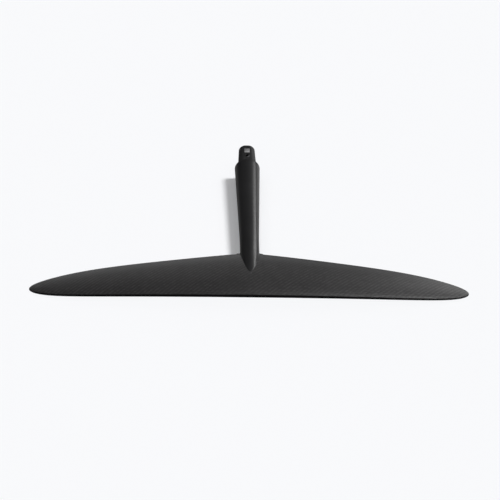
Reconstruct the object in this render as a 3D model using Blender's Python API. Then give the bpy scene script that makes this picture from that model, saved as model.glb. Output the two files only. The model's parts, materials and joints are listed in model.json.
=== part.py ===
"""Hydrofoil front wing with a moulded fuselage stub and a plug-in tenon.

Every physical piece is its own closed solid: two carbon skins over foam cores
and a carbon spar, solid tips, a fuselage of two half shells over a core, and a
tenon that carries a threaded block and a screw insert.

Frame: metres, +X to the right tip, +Y from the wing back to the tenon, +Z up.
The part rests level on z = 0, on its two tips and the rear of its fuselage.
Stations along the part are measured from the root leading edge and shifted at
the end by Y_SHIFT and Z_SHIFT, so the origin is the bottom centre of the box.
"""
import math

import bmesh
import bpy
from mathutils import Matrix, Vector

GAP = 0.0003

# Wing planform, in fractions of the half span from the root (eta).
HALF_SPAN = 0.365
ROOT_CHORD = 0.111
CHORD_TAPER = 0.545
ROOT_BLEND = 0.06
TIP_ROUND_POWER = 7.0
SWEEP = 0.019
TIP_SETBACK = 0.0205
TIP_SETBACK_POWER = 12
ANHEDRAL = 0.0216
LAST_ETA = 0.9995

# Wing section.
ROOT_THICKNESS_RATIO = 0.12
TIP_THICKNESS_RATIO = 0.10
CAMBER_RATIO = 0.02
EDGE_HALF_THICKNESS = 0.00045
SKIN = 0.0010
CAP = 0.0008

# Chordwise and spanwise limits of the inner pieces, as fractions.
NOSE_END = 0.05
SPAR_FRONT, SPAR_REAR = 0.26, 0.40
CORE_END = 0.74
FILLER_END_ROOT, FILLER_END_FALL = 0.90, 0.13
CORE_ETA = 0.74
SKIN_ETA = 0.93
TONGUE_FRONT, TONGUE_REAR = 0.15, 0.55
ROOT_BLOCK_HALF_WIDTH = 0.028
FILLER_START = 0.0178

# Fuselage sections: station, half width, height above and below the chord
# plane, and the power of the superellipse (2 is an ellipse, less is peaked).
FUSELAGE_SECTIONS = (
    (0.048, 0.0085, 0.0052, 0.0032, 1.6),
    (0.057, 0.0118, 0.0078, 0.0042, 1.6),
    (0.078, 0.0140, 0.0095, 0.0068, 1.6),
    (0.111, 0.0163, 0.0120, 0.0115, 1.7),
    (0.150, 0.0166, 0.0138, 0.0138, 2.0),
    (0.359, 0.0228, 0.0220, 0.0220, 2.0),
)
SHELL = 0.0022
STRAP_LEVEL = 0.70
RING_POINTS = 28
SHOULDER_Y = 0.359
SHOULDER_RING = 0.0085
SHOULDER_ROUND = 0.0018
TENON_ROOT_Y = 0.286
ROOT_PLUG_START, ROOT_PLUG_END = 0.062, 0.122

# Tenon.
TENON_END_Y = 0.416
TENON_HALF_WIDTH_ROOT, TENON_HALF_WIDTH_END = 0.0165, 0.0142
TENON_HALF_HEIGHT = 0.0120
TENON_CORNER = 0.0100
TENON_NECK_STEP = 0.0002
TENON_END_ROUND = 0.0018
TENON_END_PLAN_ROUND = 0.0062

# Threaded block, screw insert and bores in the tenon.
BLOCK_SIZE = (0.0096, 0.0124, 0.0150)
BLOCK_Y = TENON_END_Y - 0.0168
BLOCK_TOP_BELOW_FACE = 0.0003
BOLT_BORE_RADIUS = 0.0042
BLOCK_THREAD_RADIUS = 0.0034
INSERT_Y = TENON_END_Y - 0.0328
INSERT_RADIUS = 0.0047
INSERT_BORE_RADIUS = 0.0028
INSERT_DEPTH = 0.0150
INSERT_CHAMFER = 0.0006
VENT_Y = TENON_END_Y - 0.0055
VENT_X = 0.0028
VENT_RADIUS = 0.0017
VENT_DEPTH = 0.0040

Y_SHIFT = -TENON_END_Y / 2
Z_SHIFT = FUSELAGE_SECTIONS[-1][3]

# Colour, roughness, metallic.
FINISHES = {
    "twill_carbon": ((0.030, 0.030, 0.032), 0.42, 0.0),
    "moulded_carbon": ((0.020, 0.020, 0.021), 0.50, 0.0),
    "spar_carbon": ((0.045, 0.045, 0.048), 0.45, 0.0),
    "foam": ((0.62, 0.60, 0.50), 0.90, 0.0),
    "bonding_paste": ((0.20, 0.21, 0.24), 0.60, 0.0),
    "stainless": ((0.60, 0.60, 0.61), 0.28, 1.0),
}


def clear_scene():
    """Remove every object that the scene starts with."""
    for item in list(bpy.data.objects):
        bpy.data.objects.remove(item, do_unlink=True)


def new_material(name, finish):
    """Make a Principled material for one piece."""
    colour, roughness, metallic = FINISHES[finish]
    material = bpy.data.materials.new(name)
    material.use_nodes = True
    shader = material.node_tree.nodes["Principled BSDF"]
    shader.inputs["Base Color"].default_value = (*colour, 1.0)
    shader.inputs["Roughness"].default_value = roughness
    shader.inputs["Metallic"].default_value = metallic
    return material


def new_object(name, mesh_source, finish, smooth_angle=35.0):
    """Turn a bmesh into a named object, outward normals, smooth where round."""
    bmesh.ops.recalc_face_normals(mesh_source, faces=mesh_source.faces)
    bmesh.ops.translate(mesh_source, verts=mesh_source.verts, vec=Vector((0, Y_SHIFT, Z_SHIFT)))
    mesh = bpy.data.meshes.new(name)
    mesh_source.to_mesh(mesh)
    mesh_source.free()
    mesh.shade_smooth()
    mesh.set_sharp_from_angle(angle=math.radians(smooth_angle))
    item = bpy.data.objects.new(name, mesh)
    bpy.context.collection.objects.link(item)
    if finish:
        mesh.materials.append(new_material(name, finish))
    return item


def loft(rings, closed_path=False):
    """Join rings with equal point counts by quads, and cap the two ends.

    With closed_path the last ring is joined to the first one instead, which
    gives a ring-shaped body.
    """
    body = bmesh.new()
    loops = [[body.verts.new(point) for point in ring] for ring in rings]
    pairs = list(zip(loops, loops[1:]))
    if closed_path:
        pairs.append((loops[-1], loops[0]))
    for near, far in pairs:
        for index, corner in enumerate(near):
            following = (index + 1) % len(near)
            body.faces.new((corner, near[following], far[following], far[index]))
    if not closed_path:
        body.faces.new(loops[0])
        body.faces.new(loops[-1])
    return body


def steps(first, last, count, power=1.0):
    """Give count + 1 values from first to last, closer at the start if power > 1."""
    return [first + (last - first) * (index / count) ** power for index in range(count + 1)]


def cut(item, cutters):
    """Subtract each cutter from an object with an exact Boolean."""
    for cutter in cutters:
        modifier = item.modifiers.new("cut_" + cutter.name, "BOOLEAN")
        modifier.operation = "DIFFERENCE"
        modifier.object = cutter


def as_cutter(item):
    """Hide an object that only cuts others."""
    item.hide_render = True
    item.display_type = "WIRE"
    return item


# ---------------------------------------------------------------- wing shape

def chord(eta):
    """Chord at a signed fraction of the half span: a taper with round tips."""
    reach = math.hypot(eta, ROOT_BLEND) - ROOT_BLEND
    tip = math.sqrt(1 - abs(eta) ** TIP_ROUND_POWER)
    return ROOT_CHORD * (1 - CHORD_TAPER * reach) * tip


def leading_edge(eta):
    """Station of the leading edge: a slight sweep and a rounded tip corner."""
    reach = abs(eta)
    corner = 1 - math.sqrt(1 - reach ** TIP_SETBACK_POWER)
    return SWEEP * reach ** 2 + TIP_SETBACK * corner


def half_thickness(eta, xi):
    """Half the section's thickness, after the four-digit formula."""
    ratio = ROOT_THICKNESS_RATIO + (TIP_THICKNESS_RATIO - ROOT_THICKNESS_RATIO) * abs(eta)
    form = 0.2969 * math.sqrt(xi) - 0.1260 * xi - 0.3516 * xi ** 2
    form += 0.2843 * xi ** 3 - 0.1036 * xi ** 4
    edge = min(EDGE_HALF_THICKNESS, 0.02 * chord(eta))
    return 5 * ratio * form * chord(eta) + edge * xi


def middle(eta, xi):
    """Height of the camber line, which droops towards the tips."""
    return -ANHEDRAL * eta ** 2 + CAMBER_RATIO * 4 * xi * (1 - xi) * chord(eta)


def under_top(depth):
    """Surface that lies a depth inside the upper surface."""
    def height(eta, xi):
        return middle(eta, xi) + max(half_thickness(eta, xi) - depth, GAP / 2)
    return height


def over_bottom(depth):
    """Surface that lies a depth inside the lower surface."""
    def height(eta, xi):
        return middle(eta, xi) - max(half_thickness(eta, xi) - depth, GAP / 2)
    return height


def edge_at(fraction, gaps=0.0, fall=0.0):
    """Chordwise limit: a fraction of the chord, moved by a number of gaps."""
    def limit(eta):
        return fraction - fall * abs(eta) + gaps * GAP / chord(eta)
    return limit


def section_ring(eta, front, rear, top, bottom, count, power):
    """One closed section at eta, along the top from rear to front and back."""
    first, last = front(eta), rear(eta)
    places = steps(first, last, count, power)
    along_bottom = places[1:] if first == 0 else places

    def point(xi, height):
        return Vector((eta * HALF_SPAN, leading_edge(eta) + xi * chord(eta), height(eta, xi)))

    upper = [point(xi, top) for xi in reversed(places)]
    return upper + [point(xi, bottom) for xi in along_bottom]


def wing_piece(etas, front, rear, top, bottom, count=6, power=1.0):
    """Loft a piece of the wing between two surfaces and two chordwise limits."""
    return loft([section_ring(eta, front, rear, top, bottom, count, power) for eta in etas])


def skin_etas():
    """Spanwise stations of the skins, both halves, closer near the tips."""
    half = [SKIN_ETA * math.sin(angle) for angle in steps(0, math.pi / 2, 15)]
    return [-eta for eta in reversed(half[1:])] + half


def side_etas(start_x, end_eta, side, count):
    """Stations of a piece that lies on one side of the root."""
    return [side * eta for eta in steps(start_x / HALF_SPAN, end_eta, count)]


# ------------------------------------------------------------ fuselage shape

def section_values(station):
    """Interpolate half width, height above, depth below and power at a station."""
    table = FUSELAGE_SECTIONS
    for before, after in zip(table, table[1:]):
        if station <= after[0]:
            break
    share = (station - before[0]) / (after[0] - before[0])
    return [low + (high - low) * share for low, high in zip(before[1:], after[1:])]


def superellipse(station, angle, inset):
    """Point on the fuselage section at an angle, inset from the outer surface."""
    width, above, below, power = section_values(station)
    height = above if math.sin(angle) >= 0 else below
    exponent = 2 / power
    across = math.copysign(abs(math.cos(angle)) ** exponent, math.cos(angle))
    up = math.copysign(abs(math.sin(angle)) ** exponent, math.sin(angle))
    return Vector(((width - inset) * across, station, (height - inset) * up))


def fuselage_stations(first, last):
    """Stations from first to last that keep to the section table's corners."""
    inner = [row[0] for row in FUSELAGE_SECTIONS if first < row[0] < last]
    long_run = [0.030 * index for index in range(40)]
    extra = [y for y in long_run if max(first, 0.160) < y < last - 0.010]
    return sorted([first, *inner, *extra, last])


def half_shell(side):
    """Half of the fuselage shell; side 1 is the upper half, -1 the lower."""
    angles = [side * angle for angle in steps(0, math.pi, 14)]
    lift = Vector((0, 0, side * GAP / 2))
    rings = []
    for station in fuselage_stations(FUSELAGE_SECTIONS[0][0], SHOULDER_Y - SHOULDER_RING - GAP):
        outer = [superellipse(station, angle, 0) + lift for angle in angles]
        inner = [superellipse(station, angle, SHELL) + lift for angle in reversed(angles)]
        rings.append(outer + inner)
    return loft(rings)


def rounded_box_ring(station, half_width, half_height, corner):
    """Rounded rectangle across the fuselage, a quarter of its points per corner."""
    ring = []
    for quarter in range(4):
        side_x = 1 if quarter in (0, 3) else -1
        side_z = 1 if quarter in (0, 1) else -1
        centre = Vector((side_x * (half_width - corner), station, side_z * (half_height - corner)))
        first = quarter * math.pi / 2
        for angle in steps(first, first + math.pi / 2, RING_POINTS // 4 - 1):
            ring.append(centre + Vector((math.cos(angle), 0, math.sin(angle))) * corner)
    return ring


def core_ring(station):
    """Section of the solid inside the shells, flat where the straps lie."""
    _width, above, below, _power = section_values(station)
    top = (above - SHELL - GAP) * STRAP_LEVEL
    bottom = -(below - SHELL - GAP) * STRAP_LEVEL
    ring = []
    for angle in steps(0, 2 * math.pi, RING_POINTS)[:-1]:
        point = superellipse(station, angle, SHELL + GAP)
        point.z = min(max(point.z, bottom), top)
        ring.append(point)
    return ring


def strap(side):
    """Unidirectional carbon strap between the core and one half shell."""
    spread = math.radians(32)
    angles = [side * angle for angle in steps(math.pi / 2 - spread, math.pi / 2 + spread, 8)]
    rings = []
    for station in fuselage_stations(0.165, SHOULDER_Y - SHOULDER_RING - 4 * GAP):
        _width, above, _below, _power = section_values(station)
        flat = side * ((above - SHELL - GAP) * STRAP_LEVEL + GAP)
        outer = [superellipse(station, angle, SHELL + GAP) for angle in angles]
        inner = [Vector((point.x, station, flat)) for point in reversed(outer)]
        rings.append(outer + inner)
    return loft(rings)


# --------------------------------------------------------------- wing pieces

def build_wing(fuselage_cutter):
    """Skins, nose strip, cores, spar, fillers, root block and tips."""
    inside = SKIN + GAP
    full_span = skin_etas()

    upper = wing_piece(full_span, edge_at(NOSE_END, 0.5), edge_at(1.0),
                       under_top(0), under_top(SKIN), count=10, power=1.25)
    lower = wing_piece(full_span, edge_at(NOSE_END, 0.5), edge_at(1.0),
                       over_bottom(SKIN), over_bottom(0), count=10, power=1.25)
    cut(new_object("upper_wing_skin", upper, "twill_carbon"), [fuselage_cutter])
    cut(new_object("lower_wing_skin", lower, "twill_carbon"), [fuselage_cutter])

    nose = wing_piece(full_span, edge_at(0.0), edge_at(NOSE_END, -0.5),
                      under_top(0), over_bottom(0), count=5, power=2.0)
    new_object("leading_edge_strip", nose, "spar_carbon")

    spar_etas = [CORE_ETA * share for share in steps(-1, 1, 14)]
    spar_limits = (edge_at(SPAR_FRONT, 0.5), edge_at(SPAR_REAR, -0.5))
    web = wing_piece(spar_etas, *spar_limits, under_top(inside + CAP + GAP),
                     over_bottom(inside + CAP + GAP), count=2)
    upper_cap = wing_piece(spar_etas, *spar_limits, under_top(inside),
                           under_top(inside + CAP), count=2)
    lower_cap = wing_piece(spar_etas, *spar_limits, over_bottom(inside + CAP),
                           over_bottom(inside), count=2)
    new_object("spar_web", web, "spar_carbon")
    new_object("upper_spar_cap", upper_cap, "spar_carbon")
    new_object("lower_spar_cap", lower_cap, "spar_carbon")

    block_eta = ROOT_BLOCK_HALF_WIDTH / HALF_SPAN
    block = wing_piece(steps(-block_eta, block_eta, 4), edge_at(SPAR_REAR, 0.5),
                       edge_at(CORE_END, -0.5), under_top(inside), over_bottom(inside))
    cut(new_object("root_block", block, "spar_carbon"), [fuselage_cutter])

    for side, label in ((-1, "left"), (1, "right")):
        front_core = wing_piece(side_etas(GAP / 2, CORE_ETA, side, 10),
                                edge_at(NOSE_END, 1.0), edge_at(SPAR_FRONT, -0.5),
                                under_top(inside), over_bottom(inside), count=4)
        rear_core = wing_piece(side_etas(ROOT_BLOCK_HALF_WIDTH + GAP, CORE_ETA, side, 10),
                               edge_at(SPAR_REAR, 0.5), edge_at(CORE_END, -0.5),
                               under_top(inside), over_bottom(inside), count=4)
        filler = wing_piece(side_etas(FILLER_START, CORE_ETA, side, 10),
                            edge_at(CORE_END, 0.5), edge_at(FILLER_END_ROOT, fall=FILLER_END_FALL),
                            under_top(inside), over_bottom(inside), count=2)
        new_object(label + "_front_core", front_core, "foam")
        new_object(label + "_rear_core", rear_core, "foam")
        new_object(label + "_trailing_edge_filler", filler, "bonding_paste")
        new_object(label + "_wing_tip", tip_piece(side), "twill_carbon")


def tip_piece(side):
    """Solid tip with a tongue that reaches inboard between the skins."""
    inside = SKIN + GAP
    count = 8
    step_eta = SKIN_ETA + GAP / HALF_SPAN
    tongue = [section_ring(side * eta, edge_at(TONGUE_FRONT), edge_at(TONGUE_REAR),
                           under_top(inside), over_bottom(inside), count, 1.0)
              for eta in steps(CORE_ETA + GAP / HALF_SPAN, step_eta, 4)]
    turn = steps(math.asin(step_eta), math.asin(LAST_ETA), 8)
    # A front limit just behind the nose keeps every ring at the same point count.
    body = [section_ring(side * math.sin(angle), edge_at(0.0005), edge_at(1.0),
                         under_top(0), over_bottom(0), count, 1.8) for angle in turn]
    return loft(tongue + body)


# ----------------------------------------------------------- fuselage pieces

def build_fuselage_cutter():
    """The fuselage's outer shape, a gap larger all round."""
    angles = steps(0, 2 * math.pi, 40)[:-1]
    rings = [[superellipse(station, angle, -GAP) for angle in angles]
             for station in fuselage_stations(FUSELAGE_SECTIONS[0][0] - GAP, 0.130)]
    return as_cutter(new_object("fuselage_clearance", loft(rings), None))


def build_fuselage():
    """Half shells, root plug, core, straps and the ring that makes the shoulder."""
    new_object("upper_fuselage_shell", half_shell(1), "moulded_carbon")
    new_object("lower_fuselage_shell", half_shell(-1), "moulded_carbon")
    plug = [core_ring(station) for station in fuselage_stations(ROOT_PLUG_START, ROOT_PLUG_END)]
    new_object("fuselage_root_plug", loft(plug), "spar_carbon")
    core = [core_ring(station)
            for station in fuselage_stations(ROOT_PLUG_END + GAP, TENON_ROOT_Y - GAP)]
    new_object("fuselage_core", loft(core), "foam")
    new_object("upper_fuselage_strap", strap(1), "spar_carbon")
    new_object("lower_fuselage_strap", strap(-1), "spar_carbon")
    new_object("shoulder_ring", shoulder_ring(), "moulded_carbon")


def tenon_half_width(station):
    """The tenon narrows evenly from the shoulder to its end."""
    share = (station - SHOULDER_Y) / (TENON_END_Y - SHOULDER_Y)
    return TENON_HALF_WIDTH_ROOT + (TENON_HALF_WIDTH_END - TENON_HALF_WIDTH_ROOT) * share


def neck_ring(station, margin):
    """Section of the tenon inside the shoulder ring, or of the ring's hole."""
    grow = margin - TENON_NECK_STEP
    return rounded_box_ring(station, TENON_HALF_WIDTH_ROOT + grow, TENON_HALF_HEIGHT + grow,
                            TENON_CORNER)


def shoulder_ring():
    """Solid ring around the tenon, with a small round on its rear outer edge."""
    front = SHOULDER_Y - SHOULDER_RING
    angles = steps(0, 2 * math.pi, RING_POINTS)[:-1]

    def outer(station, inset):
        return [superellipse(station, angle, inset) for angle in angles]

    def inner(station):
        return neck_ring(station, GAP)

    profile = [outer(front, 0)]
    for turn in steps(0, math.pi / 2, 3):
        profile.append([
            superellipse(SHOULDER_Y, angle, SHOULDER_ROUND * (1 - math.cos(turn)))
            - Vector((0, SHOULDER_ROUND * (1 - math.sin(turn)), 0)) for angle in angles])
    profile.append(inner(SHOULDER_Y))
    profile.append(inner(front))
    return loft(profile, closed_path=True)


def rounded_off(station, radius):
    """How far an edge of a given radius is drawn in near the tenon's end."""
    past = max(0.0, station - (TENON_END_Y - radius))
    return radius - math.sqrt(max(0.0, radius ** 2 - past ** 2))


def tenon_ring(station):
    """Section of the tenon, drawn in at its end, most of all in plan."""
    half_width = tenon_half_width(station) - rounded_off(station, TENON_END_PLAN_ROUND)
    half_height = TENON_HALF_HEIGHT - rounded_off(station, TENON_END_ROUND)
    corner = min(TENON_CORNER, 0.9 * half_width)
    return rounded_box_ring(station, half_width, half_height, corner)


def build_tenon():
    """Tenon with its root inside the fuselage, threaded block and insert."""
    front = SHOULDER_Y - SHOULDER_RING
    rings = [core_ring(station) for station in steps(TENON_ROOT_Y, front - GAP, 3)]
    rings += [neck_ring(front - GAP, 0), neck_ring(SHOULDER_Y + GAP, 0)]
    rings.append(tenon_ring(SHOULDER_Y + GAP))
    for turn in steps(0, math.pi / 2, 6):
        rings.append(tenon_ring(TENON_END_Y - TENON_END_PLAN_ROUND * (1 - math.sin(turn))))
    tenon = new_object("tenon", loft(rings), "moulded_carbon")
    cut(tenon, tenon_cutters())
    build_threaded_block()
    build_insert()


def place(point):
    """Move a point from the part's stations into the shared frame."""
    return Vector(point) + Vector((0, Y_SHIFT, Z_SHIFT))


def box_body(size):
    """A box about the origin."""
    body = bmesh.new()
    bmesh.ops.create_cube(body, size=1)
    bmesh.ops.scale(body, verts=body.verts, vec=Vector(size))
    return body


def rod_body(radius, length, segments=20, top_radius=None):
    """A rod or cone about the origin, along Z."""
    body = bmesh.new()
    bmesh.ops.create_cone(body, cap_ends=True, segments=segments, radius1=radius,
                          radius2=radius if top_radius is None else top_radius, depth=length)
    return body


def turn_to_y(body):
    """Turn a body that stands along Z so that it lies along Y."""
    bmesh.ops.rotate(body, verts=body.verts, cent=(0, 0, 0),
                     matrix=Matrix.Rotation(math.pi / 2, 3, "X"))
    return body


def new_cutter(name, body, centre):
    """Make a cutter from a body about the origin and put it at a place."""
    bmesh.ops.translate(body, verts=body.verts, vec=Vector(centre))
    return as_cutter(new_object(name, body, None))


def tenon_cutters():
    """Block pocket, bolt bore, insert seat and vent hole."""
    width, length, depth = (size + 2 * GAP for size in BLOCK_SIZE)
    top = TENON_HALF_HEIGHT
    pocket_top = top + 0.004
    pocket_height = depth + 0.004
    pocket = new_cutter("block_pocket", box_body((width, length, pocket_height)),
                        (0, BLOCK_Y, pocket_top - pocket_height / 2))
    bore_front = BLOCK_Y - 0.0105
    bore_rear = TENON_END_Y + 0.004
    bore = new_cutter("bolt_bore", turn_to_y(rod_body(BOLT_BORE_RADIUS, bore_rear - bore_front)),
                      (0, (bore_front + bore_rear) / 2, block_centre_z()))
    seat_depth = INSERT_DEPTH + GAP
    seat = new_cutter("insert_seat", rod_body(INSERT_RADIUS + GAP, seat_depth + 0.004, 24),
                      (0, INSERT_Y, top + 0.004 - (seat_depth + 0.004) / 2))
    vent = new_cutter("vent_hole", rod_body(VENT_RADIUS, VENT_DEPTH + 0.004, 16),
                      (VENT_X, VENT_Y, top + 0.004 - (VENT_DEPTH + 0.004) / 2))
    return [pocket, bore, seat, vent]


def block_centre_z():
    """Height of the threaded block's centre."""
    return TENON_HALF_HEIGHT - BLOCK_TOP_BELOW_FACE - BLOCK_SIZE[2] / 2


def build_threaded_block():
    """Stainless block in the tenon's top window, threaded along the tenon."""
    body = box_body(BLOCK_SIZE)
    upright = [edge for edge in body.edges
               if abs(edge.verts[0].co.z - edge.verts[1].co.z) > BLOCK_SIZE[2] / 2]
    bmesh.ops.bevel(body, geom=upright, offset=0.0008, segments=2, affect="EDGES", profile=0.5)
    centre = (0, BLOCK_Y, block_centre_z())
    bmesh.ops.translate(body, verts=body.verts, vec=Vector(centre))
    block = new_object("threaded_block", body, "stainless")
    thread = turn_to_y(rod_body(BLOCK_THREAD_RADIUS, 2 * BLOCK_SIZE[1]))
    cut(block, [new_cutter("block_thread", thread, centre)])


def build_insert():
    """Stainless screw insert, flush with the tenon's top, with a chamfered bore."""
    top = TENON_HALF_HEIGHT - GAP
    count = 24

    def ring(radius, height):
        return [Vector((radius * math.cos(angle), INSERT_Y + radius * math.sin(angle), height))
                for angle in steps(0, 2 * math.pi, count)[:-1]]

    profile = [
        ring(INSERT_RADIUS, top - INSERT_DEPTH + GAP),
        ring(INSERT_RADIUS, top),
        ring(INSERT_BORE_RADIUS + INSERT_CHAMFER, top),
        ring(INSERT_BORE_RADIUS, top - INSERT_CHAMFER),
        ring(INSERT_BORE_RADIUS, top - INSERT_DEPTH + GAP),
    ]
    new_object("screw_insert", loft(profile, closed_path=True), "stainless")


def main():
    """Build the whole part."""
    clear_scene()
    build_wing(build_fuselage_cutter())
    build_fuselage()
    build_tenon()


main()
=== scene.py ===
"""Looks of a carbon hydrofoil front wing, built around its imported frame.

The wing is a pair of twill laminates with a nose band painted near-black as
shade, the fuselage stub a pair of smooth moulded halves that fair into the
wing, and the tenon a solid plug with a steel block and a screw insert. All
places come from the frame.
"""

import json
import logging
import math
from collections.abc import Callable, Iterable, Iterator, Sequence
from contextlib import contextmanager
from dataclasses import dataclass
from enum import Enum

import bmesh
import bpy
from mathutils import Matrix, Vector

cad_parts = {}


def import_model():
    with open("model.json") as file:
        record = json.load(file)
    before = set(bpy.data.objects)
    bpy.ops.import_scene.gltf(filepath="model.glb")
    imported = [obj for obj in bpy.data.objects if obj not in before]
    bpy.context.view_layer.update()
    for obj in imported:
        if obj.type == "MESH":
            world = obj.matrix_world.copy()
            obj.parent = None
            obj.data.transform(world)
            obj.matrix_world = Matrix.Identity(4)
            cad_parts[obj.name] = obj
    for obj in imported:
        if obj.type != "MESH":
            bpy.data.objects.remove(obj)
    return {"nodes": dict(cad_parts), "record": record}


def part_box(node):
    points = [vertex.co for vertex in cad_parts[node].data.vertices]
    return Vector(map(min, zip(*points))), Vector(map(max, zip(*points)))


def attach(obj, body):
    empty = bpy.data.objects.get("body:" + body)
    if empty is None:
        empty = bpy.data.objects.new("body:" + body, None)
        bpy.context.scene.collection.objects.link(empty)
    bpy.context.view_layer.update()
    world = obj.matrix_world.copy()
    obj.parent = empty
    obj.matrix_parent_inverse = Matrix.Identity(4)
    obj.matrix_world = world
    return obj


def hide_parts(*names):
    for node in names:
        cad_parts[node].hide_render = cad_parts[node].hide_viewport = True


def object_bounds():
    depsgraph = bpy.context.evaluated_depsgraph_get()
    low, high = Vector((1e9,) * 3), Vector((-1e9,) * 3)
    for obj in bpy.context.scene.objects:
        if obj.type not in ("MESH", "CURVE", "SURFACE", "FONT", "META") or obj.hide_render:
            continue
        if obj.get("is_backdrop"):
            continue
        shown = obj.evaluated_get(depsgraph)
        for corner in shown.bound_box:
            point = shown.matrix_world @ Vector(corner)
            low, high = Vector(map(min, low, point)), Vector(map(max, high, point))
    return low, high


log = logging.getLogger("hydrofoil_wing")

BODY = "root"
MERGE_DISTANCE = 0.000002
Piece = bpy.types.Object
Material = bpy.types.Material
Socket = bpy.types.NodeSocket
Point = tuple[float, float, float]
Colour = tuple[float, float, float]


class Slot(Enum):
    """Material slots of the record."""

    TWILL = "twill_carbon"
    MOULDED = "moulded_carbon"
    STRUCTURAL = "structural_carbon"
    FOAM = "foam"
    PASTE = "bonding_paste"
    STEEL = "stainless_steel"


class Side(Enum):
    """Upper or lower half of the wing or fuselage."""

    UPPER = 1
    LOWER = -1


class Part(Enum):
    """Kind of mesh part that is selected, with its collection's name."""

    VERT = "verts"
    EDGE = "edges"
    FACE = "faces"


class Axis(Enum):
    """Direction of a round cutter, as its turn about each axis."""

    Y = (math.pi / 2, 0.0, 0.0)
    Z = (0.0, 0.0, 0.0)


# ---- shader building

def math_step(operation: str) -> Callable[..., "Value"]:
    """Make a method that adds a Math node whose first input is the value."""
    def step(self: "Value", *others: "Value | float") -> "Value":
        """Add the node and return its result."""
        return self.graph.math(operation, self, *others)
    return step


@dataclass(frozen=True, eq=False)
class Value:
    """A number in a shader, on which Python's operators add Math nodes."""

    graph: "Graph"
    socket: Socket

    __add__ = __radd__ = math_step("ADD")
    __sub__ = math_step("SUBTRACT")
    __mul__ = __rmul__ = math_step("MULTIPLY")
    __truediv__ = math_step("DIVIDE")
    __abs__ = math_step("ABSOLUTE")
    floor = math_step("FLOOR")
    fraction = math_step("FRACT")
    # Remainder after a whole number of periods, never negative.
    wrapped = math_step("FLOORED_MODULO")
    # One where the value is over a limit, else zero.
    above = math_step("GREATER_THAN")

    def __rsub__(self, other: float) -> "Value":
        """Difference with the value on the right."""
        return self.graph.math("SUBTRACT", other, self)

    def ramp(self, low: float, high: float) -> "Value":
        """Rise smoothly from zero at low to one at high."""
        return self.graph.value("ShaderNodeMapRange", {"interpolation_type": "SMOOTHSTEP"},
                                {"Value": self, "From Min": low, "From Max": high})

    def between(self, first: "Value", second: "Value") -> "Value":
        """Blend from first, where this is zero, to second, where it is one."""
        return first + (second - first) * self


class Graph:
    """Node tree of one material, with its Principled shader."""

    MIX_FACTOR, MIX_BELOW, MIX_ABOVE, MIX_RESULT = 0, 6, 7, 2

    def __init__(self, name: str) -> None:
        """Start a material with an empty Principled shader."""
        self.material = bpy.data.materials.new(name)
        self.material.use_nodes = True
        self.tree = self.material.node_tree
        self.shader = self.tree.nodes["Principled BSDF"]
        self.place = self.node("ShaderNodeTexCoord", {}, {}).outputs["Object"]

    def connect(self, node: bpy.types.Node, inputs: dict) -> None:
        """Link or set a node's inputs by socket name or index."""
        for key, given in inputs.items():
            source = given.socket if isinstance(given, Value) else given
            if isinstance(source, Socket):
                self.tree.links.new(source, node.inputs[key])
            else:
                node.inputs[key].default_value = source

    def node(self, kind: str, settings: dict, inputs: dict) -> bpy.types.Node:
        """Add a node.

        Args:
            kind: Blender's type name of the node.
            settings: Properties that are set before the sockets.
            inputs: Values or links by socket name or index.

        Returns:
            The new node.
        """
        made = self.tree.nodes.new(kind)
        for key, setting in settings.items():
            setattr(made, key, setting)
        self.connect(made, inputs)
        return made

    def value(self, kind: str, settings: dict, inputs: dict) -> Value:
        """Add a node and return its first result."""
        return Value(self, self.node(kind, settings, inputs).outputs[0])

    def axes(self) -> tuple[Value, Value, Value]:
        """The place's three components."""
        made = self.node("ShaderNodeSeparateXYZ", {}, {0: self.place})
        return tuple(Value(self, out) for out in made.outputs)

    def math(self, operation: str, *terms: "Value | float") -> Value:
        """Add a Math node and return its result."""
        return self.value("ShaderNodeMath", {"operation": operation}, dict(enumerate(terms)))

    def noise(self, scale: float | Point, detail: float = 2.0,
              roughness: float = 0.5) -> Value:
        """Smooth noise from zero to one; three scales draw it out along the axes."""
        place = self.place
        if isinstance(scale, tuple):
            mapped = self.node("ShaderNodeMapping", {"vector_type": "POINT"},
                               {"Vector": place, "Scale": scale})
            place, scale = mapped.outputs[0], 1.0
        return self.value("ShaderNodeTexNoise", {"noise_dimensions": "3D"},
                          {"Vector": place, "Scale": scale, "Detail": detail,
                           "Roughness": roughness})

    def random(self, seed: Value, salt: float) -> Value:
        """A number from zero to one that depends on a whole number."""
        return self.value("ShaderNodeTexWhiteNoise", {"noise_dimensions": "1D"},
                          {"W": seed + salt})

    def cells(self, scale: float) -> Value:
        """Distance to the nearest cell centre."""
        return self.value("ShaderNodeTexVoronoi", {}, {"Vector": self.place, "Scale": scale})

    def mix(self, amount: Value, below: "Colour | Socket",
            above: "Colour | Socket") -> Socket:
        """Blend two colours.

        Args:
            amount: Zero for the colour below, one for the colour above.
            below: A constant colour or a link.
            above: A constant colour or a link.

        Returns:
            The blended colour's socket.
        """
        first, second = ((*colour, 1.0) if isinstance(colour, tuple) else colour
                         for colour in (below, above))
        made = self.node("ShaderNodeMix", {"data_type": "RGBA"},
                         {self.MIX_FACTOR: amount, self.MIX_BELOW: first,
                          self.MIX_ABOVE: second})
        return made.outputs[self.MIX_RESULT]

    def bump(self, height: Value, depth: float, strength: float) -> None:
        """Let a height in units of depth tilt the surface."""
        made = self.node("ShaderNodeBump", {},
                         {"Height": height, "Distance": depth, "Strength": strength})
        self.shade(Normal=made.outputs["Normal"])

    def shade(self, **inputs: "Value | Socket | float | tuple") -> None:
        """Link or set the Principled shader's inputs; underscores stand for spaces."""
        self.connect(self.shader, {key.replace("_", " "): given
                                   for key, given in inputs.items()})


# ---- finishes

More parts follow.
